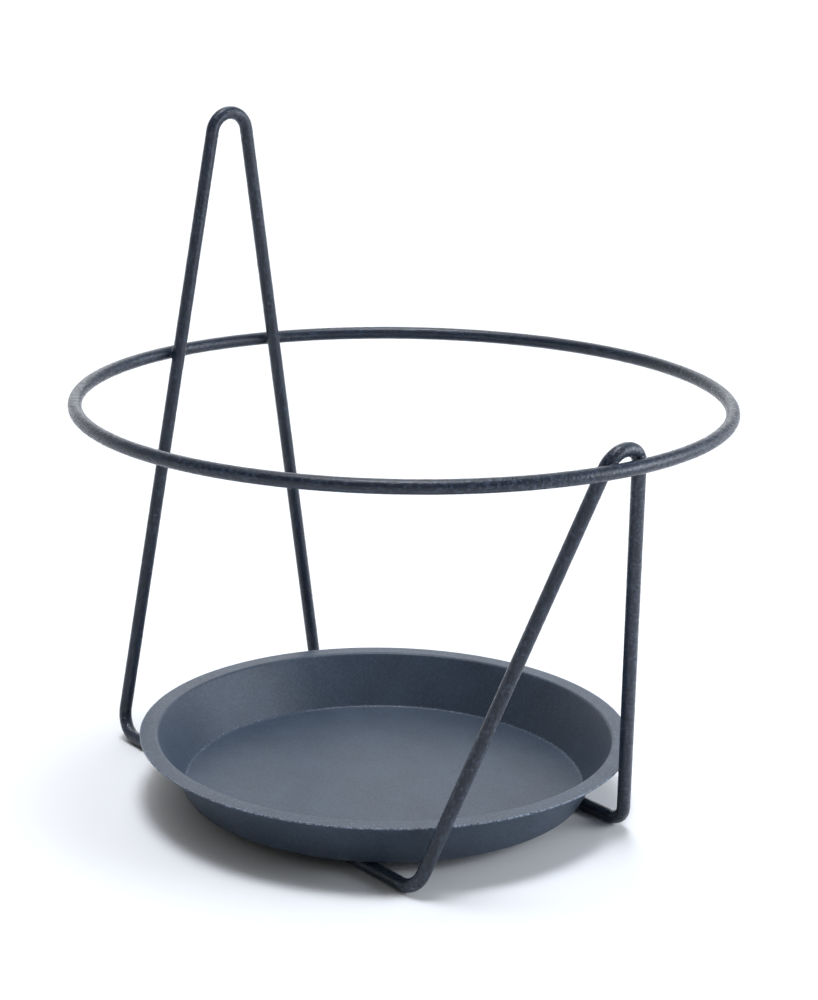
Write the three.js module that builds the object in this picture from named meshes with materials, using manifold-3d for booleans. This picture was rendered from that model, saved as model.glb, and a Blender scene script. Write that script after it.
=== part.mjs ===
// Umbrella stand: a round hoop held up by one tall and one low bent-rod loop, with a loose drip tray.
//
// Millimetres, +Z up. The origin is on the floor, under the middle of the hoop. The tall loop stands at
// +Y and the low loop at -Y, and the YZ plane is the mirror plane of the whole stand.

import * as THREE from 'three';
import { mergeVertices } from 'three/addons/utils/BufferGeometryUtils.js';
import Module from 'manifold-3d';

const wasm = await Module();
wasm.setup();

// ---- Driving dimensions ----------------------------------------------------------------------------

const ROD_DIAMETER = 8;
const ROD_RADIUS = ROD_DIAMETER / 2;
const FIT_GAP = 0.3; // air between pieces that touch

const HOOP_RADIUS = 190.5; // to the middle of the rod
const HOOP_HEIGHT = 251; // floor to the middle of the rod

const RAIL_OFFSET = 80; // mirror plane to the middle of each floor rail
const RAIL_JOINT_Y = 35; // where the two loops' rails meet, under the tray
const FOOT_BEND_RADIUS = 16; // to the middle of the rod
const ARCH_BEND_RADIUS = 13; // to the middle of the rod

const TALL_FOOT_Y = 186;
const TALL_CONTACT_ANGLE = THREE.MathUtils.degToRad(11.7); // mirror plane to leg, around the hoop
const LOW_FOOT_Y = -115.4;
const LOW_CONTACT_ANGLE = THREE.MathUtils.degToRad(3.9);

const TRAY_CENTRE_Y = 12.5;
const TRAY_RIM_RADIUS = 149.5;
const TRAY_HEIGHT = 33;
const TRAY_SHEET = 1;
const TRAY_FLOOR_RADIUS = 119; // flat part of the underside
const TRAY_LIP_WIDTH = 11;
const TRAY_WALL_LEAN = THREE.MathUtils.degToRad(24); // from upright
const TRAY_FLOOR_BEND_RADIUS = 6; // outer face
const TRAY_LIP_BEND_RADIUS = 2.5; // under face

const WELD_RADIUS = 4.2; // blob of weld around a point where two rods touch
const BUTT_WELD_LENGTH = 2.4;

// Facets
const ROD_SIDES = 12;
const HOOP_STEPS = 96;
const BEND_STEPS = 10;
const TRAY_STEPS = 72;
const TRAY_BEND_STEPS = 4;
const CUTTER_SIDES = 20;
const WELD_DETAIL = 2;

// ---- Materials -------------------------------------------------------------------------------------

function powderCoat(colour, roughness) {
  return new THREE.MeshStandardMaterial({ color: colour, roughness, metalness: 0.15 });
}

const frameCoat = () => powderCoat(0x2f353d, 0.5);
const trayCoat = () => powderCoat(0x4b525c, 0.55);

// ---- Bent rods -------------------------------------------------------------------------------------

// Centreline of a bent rod: straight runs between corners, with every corner rounded to its own bend
// radius. Its stations are the ends of the straight runs and the steps around the bends.
class BentRodPath extends THREE.Curve {
  constructor(corners, bendRadii) {
    super();
    this.stations = [];
    this.addStation(corners[0], this.direction(corners[0], corners[1]));
    for (let i = 1; i < corners.length - 1; i += 1) {
      this.addBend(corners[i - 1], corners[i], corners[i + 1], bendRadii[i - 1]);
    }
    const [lastButOne, last] = corners.slice(-2);
    this.addStation(last, this.direction(lastButOne, last));
  }

  direction(from, to) {
    return to.clone().sub(from).normalize();
  }

  addStation(point, tangent) {
    this.stations.push({ point, tangent });
  }

  addBend(before, corner, after, radius) {
    const into = this.direction(before, corner);
    const out = this.direction(corner, after);
    const turn = into.angleTo(out);
    const start = corner.clone().addScaledVector(into, -radius * Math.tan(turn / 2));
    const inward = out.clone().addScaledVector(into, -out.dot(into)).normalize();
    const centre = start.clone().addScaledVector(inward, radius);
    for (let i = 0; i <= BEND_STEPS; i += 1) {
      const angle = (turn * i) / BEND_STEPS;
      const point = centre.clone()
        .addScaledVector(inward, -radius * Math.cos(angle))
        .addScaledVector(into, radius * Math.sin(angle));
      const tangent = into.clone()
        .multiplyScalar(Math.cos(angle))
        .addScaledVector(inward, Math.sin(angle));
      this.addStation(point, tangent);
    }
  }

  get steps() {
    return this.stations.length - 1;
  }

  stationAt(u) {
    return this.stations[Math.round(u * this.steps)];
  }

  getPointAt(u, target = new THREE.Vector3()) {
    return target.copy(this.stationAt(u).point);
  }

  getTangentAt(u, target = new THREE.Vector3()) {
    return target.copy(this.stationAt(u).tangent);
  }
}

function rodSection(rodRadius, sides) {
  const corners = [];
  for (let i = 0; i < sides; i += 1) {
    const angle = (2 * Math.PI * i) / sides;
    corners.push(new THREE.Vector2(rodRadius * Math.cos(angle), rodRadius * Math.sin(angle)));
  }
  return new THREE.Shape(corners);
}

function bentRodGeometry(path, rodRadius, sides) {
  return new THREE.ExtrudeGeometry(rodSection(rodRadius, sides), {
    steps: path.steps,
    extrudePath: path,
  });
}

function namedMesh(name, geometry, material) {
  const mesh = new THREE.Mesh(geometry, material);
  mesh.name = name;
  return mesh;
}

// ---- The two loops ---------------------------------------------------------------------------------

// A loop's right leg (at +X) is the straight line from its foot, on the floor, through the point where
// it touches the inside of the hoop. The two legs would cross at the apex, in the mirror plane.
function loopLeg(footY, contactAngle) {
  const foot = new THREE.Vector3(RAIL_OFFSET, footY, ROD_RADIUS);
  const contactRadius = HOOP_RADIUS - ROD_DIAMETER - FIT_GAP;
  const contact = new THREE.Vector3(
    contactRadius * Math.sin(contactAngle),
    contactRadius * Math.cos(contactAngle) * Math.sign(footY),
    HOOP_HEIGHT,
  );
  const upward = contact.clone().sub(foot);
  const apex = foot.clone().addScaledVector(upward, foot.x / (foot.x - contact.x));
  return { foot, contact, apex };
}

function mirrored(point) {
  return new THREE.Vector3(-point.x, point.y, point.z);
}

function loopPath(leg) {
  const loopSide = Math.sign(leg.foot.y);
  const railEndY = RAIL_JOINT_Y + loopSide * (BUTT_WELD_LENGTH / 2 + FIT_GAP);
  const railEnd = new THREE.Vector3(RAIL_OFFSET, railEndY, ROD_RADIUS);
  const corners = [railEnd, leg.foot, leg.apex, mirrored(leg.foot), mirrored(railEnd)];
  return new BentRodPath(corners, [FOOT_BEND_RADIUS, ARCH_BEND_RADIUS, FOOT_BEND_RADIUS]);
}

function loop(name, path) {
  return namedMesh(name, bentRodGeometry(path, ROD_RADIUS, ROD_SIDES), frameCoat());
}

// ---- Welds -----------------------------------------------------------------------------------------

function toSolid(geometry) {
  const bare = geometry.clone();
  bare.deleteAttribute('normal');
  bare.deleteAttribute('uv');
  const merged = mergeVertices(bare);
  return new wasm.Manifold(new wasm.Mesh({
    numProp: 3,
    vertProperties: new Float32Array(merged.attributes.position.array),
    triVerts: new Uint32Array(merged.index.array),
  }));
}

function toGeometry(solid) {
  const { vertProperties, triVerts } = solid.getMesh();
  const geometry = new THREE.BufferGeometry();
  geometry.setAttribute('position', new THREE.BufferAttribute(vertProperties, 3));
  geometry.setIndex(new THREE.BufferAttribute(triVerts, 1));
  geometry.computeVertexNormals();
  return geometry;
}

function hoopGeometry(rodRadius, sides) {
  return new THREE.TorusGeometry(HOOP_RADIUS, rodRadius, sides, HOOP_STEPS)
    .translate(0, 0, HOOP_HEIGHT);
}

// Weld that fills the crevice all round the point where a leg touches the inside of the hoop.
// side is 1 for the leg at +X and -1 for the one at -X.
function hoopWeld(name, leg, path, side) {
  const contact = side > 0 ? leg.contact : mirrored(leg.contact);
  const towardHoop = contact.clone().setZ(0).normalize();
  const touch = contact.clone().addScaledVector(towardHoop, ROD_RADIUS + FIT_GAP / 2);
  const blob = new THREE.IcosahedronGeometry(WELD_RADIUS, WELD_DETAIL)
    .translate(touch.x, touch.y, touch.z);
  const clearRadius = ROD_RADIUS + FIT_GAP;
  const solid = toSolid(blob)
    .subtract(toSolid(hoopGeometry(clearRadius, CUTTER_SIDES)))
    .subtract(toSolid(bentRodGeometry(path, clearRadius, CUTTER_SIDES)));
  return namedMesh(name, toGeometry(solid), frameCoat());
}

// Weld between the ends of two rails, dressed flush with them.
function railWeld(name, side) {
  const geometry = new THREE.CylinderGeometry(ROD_RADIUS, ROD_RADIUS, BUTT_WELD_LENGTH, ROD_SIDES);
  const mesh = namedMesh(name, geometry, frameCoat());
  mesh.position.set(side * RAIL_OFFSET, RAIL_JOINT_Y, ROD_RADIUS);
  return mesh;
}

// ---- Drip tray -------------------------------------------------------------------------------------

// Points along a bend of the sheet, from one slope to another. Slopes are angles from level.
function bendPoints(centre, radius, fromSlope, toSlope) {
  const points = [];
  for (let i = 0; i <= TRAY_BEND_STEPS; i += 1) {
    const slope = THREE.MathUtils.lerp(fromSlope, toSlope, i / TRAY_BEND_STEPS);
    points.push(new THREE.Vector2(
      centre.x + radius * Math.sin(slope),
      centre.y - radius * Math.cos(slope),
    ));
  }
  return points;
}

// One face of the sheet, from the axis to the rim. depth is how far the face lies inside the sheet
// from the underside: 0 for the under face and TRAY_SHEET for the upper face.
function trayFace(depth) {
  const wallSlope = Math.PI / 2 - TRAY_WALL_LEAN;
  const floorBendCentre = new THREE.Vector2(TRAY_FLOOR_RADIUS, TRAY_FLOOR_BEND_RADIUS);
  const lipUnderside = TRAY_HEIGHT - TRAY_SHEET;
  const lipBendCentre = new THREE.Vector2(
    TRAY_RIM_RADIUS - TRAY_LIP_WIDTH + TRAY_LIP_BEND_RADIUS,
    lipUnderside - TRAY_LIP_BEND_RADIUS,
  );
  const floorBend = bendPoints(floorBendCentre, TRAY_FLOOR_BEND_RADIUS - depth, 0, wallSlope);
  const lipBend = bendPoints(lipBendCentre, -(TRAY_LIP_BEND_RADIUS + depth), wallSlope, 0);
  return [
    new THREE.Vector2(0, depth),
    ...floorBend,
    ...lipBend,
    new THREE.Vector2(TRAY_RIM_RADIUS, lipUnderside + depth),
  ];
}

function dripTray() {
  const outline = [...trayFace(0), ...trayFace(TRAY_SHEET).reverse()];
  const mesh = namedMesh('drip_tray', new THREE.LatheGeometry(outline, TRAY_STEPS), trayCoat());
  mesh.rotation.x = Math.PI / 2;
  mesh.position.set(0, TRAY_CENTRE_Y, ROD_DIAMETER + FIT_GAP);
  return mesh;
}

// ---- The stand -------------------------------------------------------------------------------------

const tallLeg = loopLeg(TALL_FOOT_Y, TALL_CONTACT_ANGLE);
const tallPath = loopPath(tallLeg);
const lowLeg = loopLeg(LOW_FOOT_Y, LOW_CONTACT_ANGLE);
const lowPath = loopPath(lowLeg);

const stand = new THREE.Group();
stand.add(
  namedMesh('hoop', hoopGeometry(ROD_RADIUS, ROD_SIDES), frameCoat()),
  loop('tall_loop', tallPath),
  loop('low_loop', lowPath),
  hoopWeld('weld_hoop_tall_right', tallLeg, tallPath, 1),
  hoopWeld('weld_hoop_tall_left', tallLeg, tallPath, -1),
  hoopWeld('weld_hoop_low_right', lowLeg, lowPath, 1),
  hoopWeld('weld_hoop_low_left', lowLeg, lowPath, -1),
  railWeld('weld_rail_right', 1),
  railWeld('weld_rail_left', -1),
  dripTray(),
);

export default stand;
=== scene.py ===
"""Umbrella stand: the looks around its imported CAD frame.

Metres, +Z up, in the frame of the CAD part: the origin is on the floor under the middle of the hoop,
the tall loop stands at +Y and the low loop at -Y.
"""

import math

import bmesh
import bpy
import numpy as np
from mathutils import Matrix, Vector


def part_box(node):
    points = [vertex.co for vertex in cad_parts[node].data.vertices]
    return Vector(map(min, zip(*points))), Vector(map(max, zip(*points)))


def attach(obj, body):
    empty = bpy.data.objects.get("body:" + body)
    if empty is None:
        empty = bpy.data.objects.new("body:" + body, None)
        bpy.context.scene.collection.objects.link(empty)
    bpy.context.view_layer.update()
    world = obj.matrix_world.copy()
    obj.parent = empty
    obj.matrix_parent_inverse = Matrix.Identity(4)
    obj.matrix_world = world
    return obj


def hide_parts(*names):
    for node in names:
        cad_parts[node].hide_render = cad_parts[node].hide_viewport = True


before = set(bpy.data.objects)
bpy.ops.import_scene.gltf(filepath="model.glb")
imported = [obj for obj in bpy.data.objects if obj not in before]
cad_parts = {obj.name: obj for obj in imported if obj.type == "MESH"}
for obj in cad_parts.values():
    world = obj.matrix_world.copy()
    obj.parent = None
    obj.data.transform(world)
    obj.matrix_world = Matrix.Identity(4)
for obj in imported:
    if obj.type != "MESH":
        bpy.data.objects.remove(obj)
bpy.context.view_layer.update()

# ---- Sizes ------------------------------------------------------------------------------------------

MM = 0.001
UP = Vector((0, 0, 1))

hoop_low, hoop_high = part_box("hoop")
_, tall_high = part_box("tall_loop")
joint_low, joint_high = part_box("weld_rail_right")
tray_low, tray_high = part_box("drip_tray")

ROD_RADIUS = (hoop_high.z - hoop_low.z) / 2
HOOP_HEIGHT = (hoop_high.z + hoop_low.z) / 2
HOOP_RADIUS = (hoop_high.x - hoop_low.x) / 2 - ROD_RADIUS

RAIL_OFFSET = tall_high.x - ROD_RADIUS
RAIL_HEIGHT = ROD_RADIUS
RAIL_JOINT_Y = (joint_low.y + joint_high.y) / 2
FOOT_BEND_RADIUS = 16 * MM
ARCH_BEND_RADIUS = 13 * MM

TALL_FOOT_Y = tall_high.y - ROD_RADIUS
TALL_CONTACT_ANGLE = math.radians(11.7)
LOW_FOOT_Y = -115.4 * MM
LOW_CONTACT_ANGLE = math.radians(3.9)

TRAY_CENTRE_Y = (tray_low.y + tray_high.y) / 2
TRAY_RIM_RADIUS = (tray_high.x - tray_low.x) / 2
TRAY_BOTTOM = tray_low.z
TRAY_HEIGHT = tray_high.z - tray_low.z
TRAY_SHEET = 1.0 * MM
TRAY_EDGE_RADIUS = 0.2 * MM
TRAY_FLOOR_CORNER = 122.9 * MM
TRAY_LIP_CORNER = TRAY_RIM_RADIUS - 10.1 * MM
TRAY_FLOOR_BEND_RADIUS = 2.8 * MM
TRAY_LIP_BEND_RADIUS = 1.4 * MM

# How finely round things are divided.
ROD_SIDES = 48
HOOP_STEPS = 360
BEND_STEPS = 28
STRAIGHT_STEP = 6 * MM
TRAY_STEPS = 288
SHEET_BEND_STEPS = 10
SHEET_EDGE_STEPS = 4

# Where the tray's flat stretches have extra rings, which keep the painted highlight of a bend or the
# painted glint
# of an edge near it: as shares of the floor's radius and of the wall's slope, and as distances from the
# lip's bend and edge.
FLOOR_RINGS = (0.25, 0.5, 0.75, 0.9, 0.98, 0.995)
WALL_RINGS = (0.03, 0.5, 0.97)
LIP_RING_PAST_BEND = 0.5 * MM
LIP_RING_BEFORE_EDGE = 1.0 * MM

# How pale the coat is made, from 0 for untouched to 1. On the rods it is rubbed coat, and a bend's wear
# comes on top of the rod's. On the tray it is a painted glint with rubbed coat on the rim's edge, pale
# patches on the lip's top, and painted highlights along the lip's and the floor's bends.
ROD_WEAR = 0.12
BEND_WEAR = 0.24
RIM_GLINT_AND_WEAR = 0.62
LIP_TOP_PALENESS = 0.27
LIP_BEND_HIGHLIGHT = 0.2
FLOOR_BEND_HIGHLIGHT = 0.34

BEND_TURN = 0.01
BEND_WEAR_SPREAD = 6


# ---- Mesh helpers -----------------------------------------------------------------------------------


def new_object(name, bm, wear_and_highlight=None):
    """An object from a bmesh, shaded smooth, its faces pointing out, with a value on each vertex for wear
    and painted highlight.
    """
    bmesh.ops.recalc_face_normals(bm, faces=bm.faces)
    mesh = bpy.data.meshes.new(name)
    bm.to_mesh(mesh)
    bm.free()
    if wear_and_highlight is not None:
        mesh.attributes.new("wear_and_highlight", "FLOAT", "POINT").data.foreach_set("value", wear_and_highlight)
    for polygon in mesh.polygons:
        polygon.use_smooth = True
    piece = bpy.data.objects.new(name, mesh)
    bpy.context.scene.collection.objects.link(piece)
    return piece


def ring_of_verts(bm, centre, side, up, radius):
    """Vertices of one round section, in the plane of the unit vectors side and up."""
    verts = []
    for i in range(ROD_SIDES):
        angle = 2 * math.pi * i / ROD_SIDES
        verts.append(bm.verts.new(centre + radius * (math.cos(angle) * side + math.sin(angle) * up)))
    return verts


def bridge(bm, ring_a, ring_b):
    """Quads between two sections with the same number of vertices."""
    count = len(ring_a)
    for i in range(count):
        j = (i + 1) % count
        bm.faces.new((ring_a[i], ring_a[j], ring_b[j], ring_b[i]))


def bridge_with_ends(bm, rings):
    """Quads along a row of sections, and a flat face over each end."""
    for ring_a, ring_b in zip(rings, rings[1:]):
        bridge(bm, ring_a, ring_b)
    bm.faces.new(list(reversed(rings[0])))
    bm.faces.new(rings[-1])


# ---- Bent rods --------------------------------------------------------------------------------------


def bend_stations(before, corner, after, radius):
    """Points and tangents around one rounded corner of a bent rod."""
    into = (corner - before).normalized()
    out = (after - corner).normalized()
    turn = into.angle(out)
    start = corner - into * radius * math.tan(turn / 2)
    inward = (out - into * out.dot(into)).normalized()
    centre = start + inward * radius
    stations = []
    for i in range(BEND_STEPS + 1):
        angle = turn * i / BEND_STEPS
        point = centre - inward * radius * math.cos(angle) + into * radius * math.sin(angle)
        tangent = into * math.cos(angle) + inward * math.sin(angle)
        stations.append((point, tangent))
    return stations


def rod_stations(corners, bend_radii):
    """Points and tangents along a bent rod, from its first corner to its last."""
    key = [(corners[0], (corners[1] - corners[0]).normalized())]
    for i, radius in enumerate(bend_radii, start=1):
        key += bend_stations(corners[i - 1], corners[i], corners[i + 1], radius)
    key.append((corners[-1], (corners[-1] - corners[-2]).normalized()))
    stations = [key[0]]
    for (point_a, tangent_a), (point_b, tangent_b) in zip(key, key[1:]):
        pieces = max(1, round((point_b - point_a).length / STRAIGHT_STEP))
        for k in range(1, pieces):
            share = k / pieces
            stations.append((point_a.lerp(point_b, share), tangent_a.lerp(tangent_b, share).normalized()))
        stations.append((point_b, tangent_b))
    return stations


def bend_wear(stations):
    """How rubbed the rod is at each station: more on the bends, fading out over the next few stations."""
    turns = [0.0]
    for (_, before), (_, after) in zip(stations, stations[1:]):
        turns.append(1.0 if before.angle(after) > BEND_TURN else 0.0)
    wear_and_highlight = []
    for i in range(len(turns)):
        near = turns[max(0, i - BEND_WEAR_SPREAD):i + BEND_WEAR_SPREAD + 1]
        wear_and_highlight.append(ROD_WEAR + BEND_WEAR * sum(near) / len(near))
    return wear_and_highlight


def swept_rod(name, stations, radius):
    """A round rod along the stations, its section carried along without twist, with flat ends."""
    bm = bmesh.new()
    tangent = stations[0][1]
    side = tangent.cross(UP).normalized()
    rings = []
    for point, new_tangent in stations:
        side = tangent.rotation_difference(new_tangent) @ side
        side = (side - new_tangent * side.dot(new_tangent)).normalized()
        tangent = new_tangent
        rings.append(ring_of_verts(bm, point, side, tangent.cross(side), radius))
    bridge_with_ends(bm, rings)
    return new_object(name, bm, [rub_and_highlight for rub_and_highlight in bend_wear(stations) for _ in range(ROD_SIDES)])


def mirrored(point):
    return Vector((-point.x, point.y, point.z))


def loop_leg(foot_y, contact_angle):
    """Foot corner, hoop contact and apex corner of a loop's leg at +X."""
    foot = Vector((RAIL_OFFSET, foot_y, RAIL_HEIGHT))
    contact_radius = HOOP_RADIUS - 2 * ROD_RADIUS
    contact = Vector((
        contact_radius * math.sin(contact_angle),
        contact_radius * math.cos(contact_angle) * math.copysign(1, foot_y),
        HOOP_HEIGHT,
    ))
    upward = contact - foot
    apex = foot + upward * (foot.x / (foot.x - contact.x))
    return foot, contact, apex


def loop_stations(leg):
    """Points and tangents along a whole loop, from its right rail's end to its left rail's."""
    foot, _, apex = leg
    rail_end = Vector((RAIL_OFFSET, RAIL_JOINT_Y, RAIL_HEIGHT))
    corners = [rail_end, foot, apex, mirrored(foot), mirrored(rail_end)]
    return rod_stations(corners, [FOOT_BEND_RADIUS, ARCH_BEND_RADIUS, FOOT_BEND_RADIUS])


def hoop_piece(name):
    bm = bmesh.new()
    rings = []
    for i in range(HOOP_STEPS):
        angle = 2 * math.pi * i / HOOP_STEPS
        outward = Vector((math.cos(angle), math.sin(angle), 0))
        centre = outward * HOOP_RADIUS + Vector((0, 0, HOOP_HEIGHT))
        rings.append(ring_of_verts(bm, centre, outward, UP, ROD_RADIUS))
    for ring_a, ring_b in zip(rings, rings[1:] + rings[:1]):
        bridge(bm, ring_a, ring_b)
    return new_object(name, bm, [ROD_WEAR] * (HOOP_STEPS * ROD_SIDES))


# ---- Drip tray --------------------------------------------------------------------------------------


def sheet_bend(centre, radius, from_slope, to_slope):
    """Points (radius, height) along a bend of the sheet. Slopes are angles from level."""
    points = []
    for i in range(SHEET_BEND_STEPS + 1):
        slope = from_slope + (to_slope - from_slope) * i / SHEET_BEND_STEPS
        points.append((centre[0] + radius * math.sin(slope), centre[1] - radius * math.cos(slope)))
    return points


def tray_face(depth):
    """One face of the sheet from near the axis to near the rim, depth inside it from the underside."""
    lip_underside = TRAY_HEIGHT - TRAY_SHEET
    wall_slope = math.atan2(lip_underside, TRAY_LIP_CORNER - TRAY_FLOOR_CORNER)
    cut = math.tan(wall_slope / 2)
    floor_end = TRAY_FLOOR_CORNER - TRAY_FLOOR_BEND_RADIUS * cut
    lip_start = TRAY_LIP_CORNER + TRAY_LIP_BEND_RADIUS * cut
    floor_bend = sheet_bend(
        (floor_end, TRAY_FLOOR_BEND_RADIUS),
        TRAY_FLOOR_BEND_RADIUS - depth, 0, wall_slope,
    )
    lip_bend = sheet_bend(
        (lip_start, lip_underside - TRAY_LIP_BEND_RADIUS),
        -(TRAY_LIP_BEND_RADIUS + depth), wall_slope, 0,
    )
    floor = [(floor_end * share, depth) for share in FLOOR_RINGS]
    (foot_radius, foot_height), (head_radius, head_height) = floor_bend[-1], lip_bend[0]
    wall = []
    for share in WALL_RINGS:
        wall.append((
            foot_radius + (head_radius - foot_radius) * share,
            foot_height + (head_height - foot_height) * share,
        ))
    bend_end, lip_height = lip_bend[-1]
    lip = [
        (bend_end + LIP_RING_PAST_BEND, lip_height),
        (TRAY_RIM_RADIUS - LIP_RING_BEFORE_EDGE, lip_height),
    ]
    return floor + floor_bend + wall + lip_bend + lip


def tray_outline():
    """The sheet's section: along the underside, round the rim's cut edge and back along the upper face."""
    inner = TRAY_RIM_RADIUS - TRAY_EDGE_RADIUS
    edge = []
    for height, first in (
        (TRAY_HEIGHT - TRAY_SHEET + TRAY_EDGE_RADIUS, -math.pi / 2),
        (TRAY_HEIGHT - TRAY_EDGE_RADIUS, 0),
    ):
        for i in range(SHEET_EDGE_STEPS + 1):
            angle = first + math.pi / 2 * i / SHEET_EDGE_STEPS
            edge.append((
                inner + TRAY_EDGE_RADIUS * math.cos(angle),
                height + TRAY_EDGE_RADIUS * math.sin(angle),
            ))
    return tray_face(0) + edge + list(reversed(tray_face(TRAY_SHEET)))


def tray_wear_and_highlights(outline):
    """How pale the sheet is made at each point of its section, most at the rim's edge and none on the
    wall: a painted glint with rubbed coat on the rim's edge, pale patches on the lip's top, painted
    highlights along the lip's and floor's bends.
    """
    edge_start = TRAY_RIM_RADIUS - 2 * TRAY_EDGE_RADIUS
    lip_bend_end = TRAY_LIP_CORNER + 0.8 * TRAY_SHEET
    lip_bend_bottom = TRAY_HEIGHT - 0.9 * TRAY_SHEET
    lip_middle = TRAY_HEIGHT - 0.5 * TRAY_SHEET
    floor_bend_start = TRAY_FLOOR_CORNER - 4 * MM
    floor_bend_top = 2.2 * TRAY_SHEET
    wear_and_highlight = []
    for radius, height in outline:
        # A painted glint, with rubbed coat, along the rim's cut edge.
        if radius > edge_start:
            wear_and_highlight.append(RIM_GLINT_AND_WEAR)
        # A painted highlight along the bend from the wall to the lip.
        elif radius < lip_bend_end and height > lip_bend_bottom:
            wear_and_highlight.append(LIP_BEND_HIGHLIGHT)
        # Pale patches on the lip's flat top.
        elif height > lip_middle:
            wear_and_highlight.append(LIP_TOP_PALENESS)
        # A painted highlight along the crease between the floor and the wall.
        elif floor_bend_start < radius < TRAY_FLOOR_CORNER and TRAY_SHEET < height < floor_bend_top:
            wear_and_highlight.append(FLOOR_BEND_HIGHLIGHT)
        else:
            wear_and_highlight.append(0.0)
    return wear_and_highlight


def tray_piece(name):
    """The sheet's section turned round the tray's axis, closed by a fan in the middle of each face."""
    bm = bmesh.new()
    outline = tray_outline()
    wear_and_highlight = []
    rings = []
    for (radius, height), rub_and_highlight in zip(outline, tray_wear_and_highlights(outline)):
        ring = []
        for i in range(TRAY_STEPS):
            angle = 2 * math.pi * i / TRAY_STEPS
            ring.append(bm.verts.new((
                radius * math.cos(angle),
                TRAY_CENTRE_Y + radius * math.sin(angle),
                TRAY_BOTTOM + height,
            )))
            wear_and_highlight.append(rub_and_highlight)
        rings.append(ring)
    for ring_a, ring_b in zip(rings, rings[1:]):
        bridge(bm, ring_a, ring_b)
    for ring, height in ((rings[0], 0), (rings[-1], TRAY_SHEET)):
        middle = bm.verts.new((0, TRAY_CENTRE_Y, TRAY_BOTTOM + height))
        wear_and_highlight.append(0.0)
        for i in range(TRAY_STEPS):
            bm.faces.new((ring[i], ring[(i + 1) % TRAY_STEPS], middle))
    return new_object(name, bm, wear_and_highlight)


# ---- Welds ------------------------------------------------------------------------------------------

WELD_DETAIL = 6
WELD_HALVINGS = 24
WELD_REACH = 12 * MM
WELD_SINK = 0.03 * MM
TALL_WELD_BLEND = 2.5 * MM
LOW_WELD_BLEND = 2.0 * MM
RAIL_WELD_LENGTH = 5 * MM
RAIL_WELD_CROWN = 0.2 * MM
RAIL_WELD_STEPS = 16


def off_hoop(points):
    """Distances from the hoop's surface, negative inside it."""
    across = np.hypot(points[:, 0], points[:, 1]) - HOOP_RADIUS
    return np.hypot(across, points[:, 2] - HOOP_HEIGHT) - ROD_RADIUS


def off_rod(points, line):
    """Distances from the surface of a rod with the given centre line, negative inside it."""
    nearest = np.full(len(points), np.inf)
    for start, end in zip(line, line[1:]):
        along = end - start
        share = np.clip((points - start) @ along / (along @ along), 0, 1)
        nearest = np.minimum(nearest, np.linalg.norm(points - start - share[:, None] * along, axis=1))
    return nearest - ROD_RADIUS


def off_weld(points, line, melt):
    """Distances from the surface of the hoop and the rod melted together."""
    hoop, rod = off_hoop(points), off_rod(points, line)
    near = np.maximum(melt - np.abs(hoop - rod), 0) / melt
    return np.minimum(hoop, rod) - near * near * melt / 4


def hoop_weld_piece(name, leg, stations, side, melt):
    """A smooth fillet round the crossing of the hoop and a loop's leg, sunk into both rods past its edge.

    Each vertex of a sphere is moved out along its own ray, by halving, to where the ray leaves the metal.
    """
    _, contact, _ = leg
    outward = Vector((contact.x, contact.y, 0)).normalized()
    middle = contact + outward * ROD_RADIUS
    middle.x *= side
    middle = np.array(middle)
    line = [np.array(point) for point, _ in stations]
    line = [point for point in line if np.linalg.norm(point - middle) < 3 * WELD_REACH]
    bm = bmesh.new()
    bmesh.ops.create_icosphere(bm, subdivisions=WELD_DETAIL, radius=1)
    rays = np.array([v.co for v in bm.verts])
    low, high = np.zeros(len(rays)), np.full(len(rays), WELD_REACH)
    for _ in range(WELD_HALVINGS):
        half = (low + high) / 2
        inside = off_weld(middle + rays * half[:, None], line, melt) + WELD_SINK < 0
        low, high = np.where(inside, half, low), np.where(inside, high, half)
    for vert, ray, reach in zip(bm.verts, rays, low):
        vert.co = Vector(middle + ray * reach)
    return new_object(name, bm)


def rail_weld_piece(name, side):
    """A low crowned bead round the joint of the two loops' rails."""
    bm = bmesh.new()
    rings = []
    for i in range(RAIL_WELD_STEPS + 1):
        share = 2 * i / RAIL_WELD_STEPS - 1
        centre = Vector((side * RAIL_OFFSET, RAIL_JOINT_Y + share * RAIL_WELD_LENGTH / 2, RAIL_HEIGHT))
        crown = RAIL_WELD_CROWN * (1 - share * share) - WELD_SINK
        rings.append(ring_of_verts(bm, centre, Vector((1, 0, 0)), UP, ROD_RADIUS + crown))
    bridge_with_ends(bm, rings)
    return new_object(name, bm)


# ---- Node helpers -----------------------------------------------------------------------------------


def noise(tree, place, scale, detail, roughness):
    """A noise texture over the piece, in its own coordinates, features 1 / scale metres across."""
    texture = tree.nodes.new("ShaderNodeTexNoise")
    texture.inputs["Scale"].default_value = scale
    texture.inputs["Detail"].default_value = detail
    texture.inputs["Roughness"].default_value = roughness
    tree.links.new(place, texture.inputs["Vector"])
    return texture.outputs["Fac"]


def stretch(tree, value, low, high, to_low, to_high):
    """The value between low and high, stretched to the new ends and held there."""
    step = tree.nodes.new("ShaderNodeMapRange")
    step.inputs["From Min"].default_value = low
    step.inputs["From Max"].default_value = high
    step.inputs["To Min"].default_value = to_low
    step.inputs["To Max"].default_value = to_high
    tree.links.new(value, step.inputs["Value"])
    return step.outputs["Result"]


def combine(tree, operation, value, other):
    """A value worked on by a plain number or by another value."""
    step = tree.nodes.new("ShaderNodeMath")
    step.operation = operation
    tree.links.new(value, step.inputs[0])
    if isinstance(other, (int, float)):
        step.inputs[1].default_value = other
    else:
        tree.links.new(other, step.inputs[1])
    return step.outputs[0]


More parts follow.
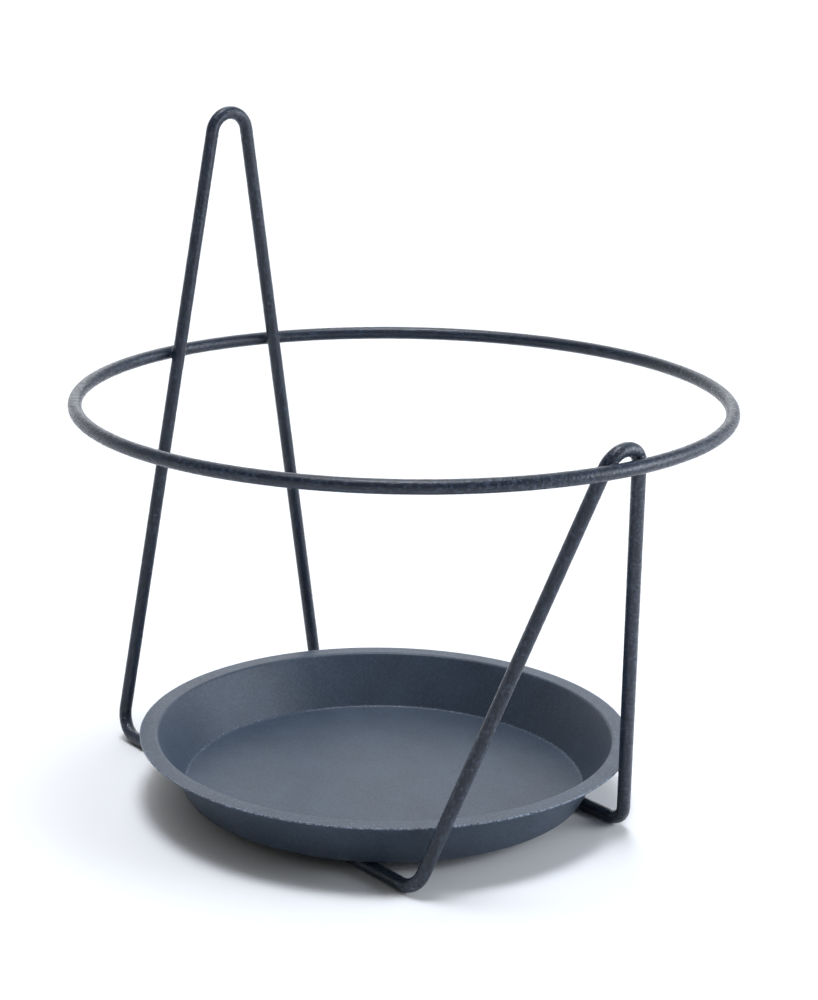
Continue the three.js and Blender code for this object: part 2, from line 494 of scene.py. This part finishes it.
def mix_colours(tree, share, colour_a, colour_b):
    """From one colour to the other. Each is a plain tuple or another node's output."""
    step = tree.nodes.new("ShaderNodeMix")
    step.data_type = "RGBA"
    tree.links.new(share, step.inputs["Factor"])
    for socket, colour in (("A", colour_a), ("B", colour_b)):
        if isinstance(colour, tuple):
            step.inputs[socket].default_value = (*colour, 1)
        else:
            tree.links.new(colour, step.inputs[socket])
    return step.outputs["Result"]


# ---- Materials --------------------------------------------------------------------------------------

# Each noise of the coat: its scale in features per metre, its detail and its roughness.
PEEL_NOISE = (520, 2, 0.5)
FINE_NOISE = (1700, 3, 0.6)
MOTTLE_NOISE = (45, 4, 0.5)
SCUFF_NOISE = (700, 3, 0.6)

# From where to where a noise tells in the coat's colour, and how strongly at each end.
MOTTLE_RAMP = (0.3, 0.7, 0.0, 1.0)
PIT_RAMP = (0.5, 0.34, 0.0, 0.6)
GRAIN_RAMP = (0.56, 0.7, 0.0, 0.45)
SPECK_RAMP = (0.5, 0.62, 0.0)
SCUFF_AND_HIGHLIGHT_RAMP = (0.46, 0.62, 0.0, 1.0)
GLOSS_RAMP = (0.35, 0.65)

# Tones of the coat as a factor on its colour and an amount added.
MOTTLE_DARK = (0.86, 0.0)
MOTTLE_LIGHT = (1.14, 0.0)
PIT_TONE = (0.6, 0.0)
PALE_TONE = (2.2, 0.015)
# The pale tone of rubbed coat, also used for the painted highlights and the painted glint on the tray.
WORN_AND_HIGHLIGHT_TONE = (3.0, 0.12)

SCUFF_NOISE_SHARE = 0.62
WEAR_AND_HIGHLIGHT_SHARE = 0.34
FINE_BUMP_SHARE = 0.5
BUMP_DISTANCE = 0.25 * MM


def toned(colour, tone):
    factor, added = tone
    return tuple(c * factor + added for c in colour)


def powder_coat(name, colour, roughness, roughness_spread, specular, bump_strength, speckle):
    """Textured powder coat: orange-peel bump, mottled tone, pale specks, and rubbed bends and edges, whose
    pale tone also makes the painted highlights along the tray's bends and the painted glint on its rim's
    edge.
    """
    material = bpy.data.materials.new(name)
    material.use_nodes = True
    tree = material.node_tree
    shader = tree.nodes["Principled BSDF"]
    place = tree.nodes.new("ShaderNodeTexCoord").outputs["Object"]

    peel = noise(tree, place, *PEEL_NOISE)
    fine = noise(tree, place, *FINE_NOISE)
    mottle = noise(tree, place, *MOTTLE_NOISE)
    scuff = noise(tree, place, *SCUFF_NOISE)

    dark, light = toned(colour, MOTTLE_DARK), toned(colour, MOTTLE_LIGHT)
    pale = toned(colour, PALE_TONE)
    tone = mix_colours(tree, stretch(tree, mottle, *MOTTLE_RAMP), dark, light)
    tone = mix_colours(tree, stretch(tree, fine, *PIT_RAMP), tone, toned(colour, PIT_TONE))
    tone = mix_colours(tree, stretch(tree, fine, *GRAIN_RAMP), tone, pale)
    tone = mix_colours(tree, stretch(tree, peel, *SPECK_RAMP, speckle), tone, pale)

    # The vertex attribute read here carries rubbed coat on the rods, and painted highlights and a painted
    # glint on the tray; where it and the scuff noise run high, the pale tone is mixed in.
    wear_and_highlight = tree.nodes.new("ShaderNodeAttribute")
    wear_and_highlight.attribute_name = "wear_and_highlight"
    rub_and_highlight = combine(
        tree, "ADD",
        combine(tree, "MULTIPLY", scuff, SCUFF_NOISE_SHARE),
        combine(tree, "MULTIPLY", wear_and_highlight.outputs["Fac"], WEAR_AND_HIGHLIGHT_SHARE),
    )
    tone = mix_colours(tree, stretch(tree, rub_and_highlight, *SCUFF_AND_HIGHLIGHT_RAMP), tone, toned(colour, WORN_AND_HIGHLIGHT_TONE))
    tree.links.new(tone, shader.inputs["Base Color"])

    dull, glossy = roughness + roughness_spread, roughness - roughness_spread
    tree.links.new(stretch(tree, peel, *GLOSS_RAMP, dull, glossy), shader.inputs["Roughness"])
    shader.inputs["Specular IOR Level"].default_value = specular

    bump = tree.nodes.new("ShaderNodeBump")
    bump.inputs["Strength"].default_value = bump_strength
    bump.inputs["Distance"].default_value = BUMP_DISTANCE
    height = combine(tree, "ADD", peel, combine(tree, "MULTIPLY", fine, FINE_BUMP_SHARE))
    tree.links.new(height, bump.inputs["Height"])
    tree.links.new(bump.outputs["Normal"], shader.inputs["Normal"])
    return material


FRAME_COAT = powder_coat(
    "frame_coat", colour=(0.010, 0.016, 0.028), roughness=0.29, roughness_spread=0.07,
    specular=0.34, bump_strength=1.0, speckle=0.9,
)
TRAY_COAT = powder_coat(
    "tray_coat", colour=(0.036, 0.051, 0.074), roughness=0.43, roughness_spread=0.02,
    specular=0.29, bump_strength=0.3, speckle=0.1,
)


def finish_piece(piece, body, slot, material, *nodes):
    """Give a piece its material, attach it to the body it rides and hide the CAD nodes it stands for."""
    piece.data.materials.append(material)
    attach(piece, body)
    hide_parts(*nodes)


# ---- The stand --------------------------------------------------------------------------------------

SIDES = (("right", 1), ("left", -1))

finish_piece(hoop_piece("hoop_rod"), "stand", "frame_coat", FRAME_COAT, "hoop")

for loop, foot_y, contact_angle, melt in (
    ("tall", TALL_FOOT_Y, TALL_CONTACT_ANGLE, TALL_WELD_BLEND),
    ("low", LOW_FOOT_Y, LOW_CONTACT_ANGLE, LOW_WELD_BLEND),
):
    leg = loop_leg(foot_y, contact_angle)
    stations = loop_stations(leg)
    rod = swept_rod(f"{loop}_loop_rod", stations, ROD_RADIUS)
    finish_piece(rod, "stand", "frame_coat", FRAME_COAT, f"{loop}_loop")
    for end, side in SIDES:
        node = f"weld_hoop_{loop}_{end}"
        fillet = hoop_weld_piece(f"{node}_fillet", leg, stations, side, melt)
        finish_piece(fillet, "stand", "frame_coat", FRAME_COAT, node)

for end, side in SIDES:
    node = f"weld_rail_{end}"
    finish_piece(rail_weld_piece(f"{node}_bead", side), "stand", "frame_coat", FRAME_COAT, node)

finish_piece(tray_piece("drip_tray_shell"), "tray", "tray_coat", TRAY_COAT, "drip_tray")


# ---- Floor, light and camera ------------------------------------------------------------------------

FLOOR_RADIUS = 25.0
FLOOR_SIDES = 64
FLOOR_COLOUR = (0.79, 0.79, 0.79, 1)

CAMERA_PLACE = Vector((-0.84108, -1.02332, 0.56603))
CAMERA_TURN = math.radians(-37.853)
CAMERA_PITCH = math.radians(15.868)
CAMERA_ROLL = math.radians(0.514)
CAMERA_SENSOR = 36
CAMERA_LENS = 83.844
CAMERA_SHIFT = 0.069


def compass(turn, height):
    """A direction from its angle from the camera's own heading, clockwise from above, and its height."""
    heading = math.radians(turn) - CAMERA_TURN
    level = math.cos(math.radians(height))
    return Vector((math.sin(heading) * level, math.cos(heading) * level, math.sin(math.radians(height))))


WHITE = (1, 1, 1)
COOL_WHITE = (0.97, 1.0, 1.04)

# Each soft light of the studio: where it is from the middle, how narrow it is, its colour and strength.
LIGHTS = [
    (compass(0, 90), 80, (0.94, 0.99, 1.08), 31.0),
    (compass(0, 15), 12, COOL_WHITE, 1.55),
    (compass(45, 15), 12, COOL_WHITE, 0.6),
    (compass(90, 15), 12, (0.94, 1.0, 1.1), 5.3),
    (compass(270, 15), 12, WHITE, 0.4),
    (compass(315, 15), 12, WHITE, 0.9),
    (compass(0, 45), 16, WHITE, 1.45),
    (compass(180, 45), 16, WHITE, 0.6),
    (compass(0, 70), 30, WHITE, 1.8),
    (compass(270, 70), 30, WHITE, 1.2),
]

PANEL_COMPASS = (106, 18)
PANEL_DISTANCE = 0.6
PANEL_SIZE = 0.3
PANEL_WATTS = 1.3
PANEL_COLOUR = (0.94, 1.0, 1.08)

# A pale glow just over the horizon, so that a low view doesn't end in a dark sky behind the floor.
HORIZON_GLOW = 0.85
HORIZON_FULL = math.sin(math.radians(4))
HORIZON_END = math.sin(math.radians(6.5))


def floor():
    bm = bmesh.new()
    bmesh.ops.create_circle(bm, cap_ends=True, segments=FLOOR_SIDES, radius=FLOOR_RADIUS)
    ground = new_object("floor", bm)
    material = bpy.data.materials.new("floor_paper")
    material.use_nodes = True
    shader = material.node_tree.nodes["Principled BSDF"]
    shader.inputs["Base Color"].default_value = FLOOR_COLOUR
    shader.inputs["Roughness"].default_value = 1.0
    shader.inputs["Specular IOR Level"].default_value = 0.0
    ground.data.materials.append(material)


def soft_light(tree, place, direction, narrow, colour, strength):
    """The light of one broad soft lamp, strongest in its direction and fading out round it."""
    dot = tree.nodes.new("ShaderNodeVectorMath")
    dot.operation = "DOT_PRODUCT"
    dot.inputs[1].default_value = direction
    tree.links.new(place, dot.inputs[0])
    lobe = combine(tree, "POWER", combine(tree, "MAXIMUM", dot.outputs["Value"], 0), narrow)
    tint = tree.nodes.new("ShaderNodeVectorMath")
    tint.operation = "SCALE"
    tint.inputs[0].default_value = [c * strength for c in colour]
    tree.links.new(lobe, tint.inputs["Scale"])
    return tint.outputs[0]


def studio_light(lights):
    """A soft studio: a broad soft light in each of the given directions, over a pale horizon."""
    world = bpy.data.worlds.new("studio")
    bpy.context.scene.world = world
    world.use_nodes = True
    tree = world.node_tree
    place = tree.nodes.new("ShaderNodeTexCoord").outputs["Generated"]
    split = tree.nodes.new("ShaderNodeSeparateXYZ")
    tree.links.new(place, split.inputs[0])
    total = stretch(tree, split.outputs["Z"], HORIZON_FULL, HORIZON_END, HORIZON_GLOW, 0.0)
    for light in lights:
        add = tree.nodes.new("ShaderNodeVectorMath")
        add.operation = "ADD"
        tree.links.new(total, add.inputs[0])
        tree.links.new(soft_light(tree, place, *light), add.inputs[1])
        total = add.outputs[0]
    tree.links.new(total, tree.nodes["Background"].inputs["Color"])


def side_panel():
    """A small soft panel low on the right, near enough to light the low loop more than the tall one."""
    data = bpy.data.lights.new("side_panel", "AREA")
    data.shape = "DISK"
    data.size = PANEL_SIZE
    data.energy = PANEL_WATTS
    data.color = PANEL_COLOUR
    panel = bpy.data.objects.new("side_panel", data)
    toward = compass(*PANEL_COMPASS)
    middle = Vector((0, LOW_FOOT_Y, HOOP_HEIGHT / 2))
    panel.location = middle + toward * PANEL_DISTANCE
    panel.rotation_euler = toward.to_track_quat("Z", "Y").to_euler()
    bpy.context.scene.collection.objects.link(panel)


def camera():
    """The photograph's point of view."""
    data = bpy.data.cameras.new("camera")
    data.sensor_width = CAMERA_SENSOR
    data.lens = CAMERA_LENS
    data.shift_x = CAMERA_SHIFT
    lens = bpy.data.objects.new("camera", data)
    turn = Matrix.Rotation(CAMERA_TURN, 4, "Z")
    pitch = Matrix.Rotation(math.pi / 2 - CAMERA_PITCH, 4, "X")
    roll = Matrix.Rotation(CAMERA_ROLL, 4, "Z")
    lens.matrix_world = Matrix.Translation(CAMERA_PLACE) @ turn @ pitch @ roll
    bpy.context.scene.collection.objects.link(lens)
    bpy.context.scene.camera = lens


floor()
studio_light(LIGHTS)
side_panel()
camera()
bpy.context.scene.view_settings.view_transform = "Standard"
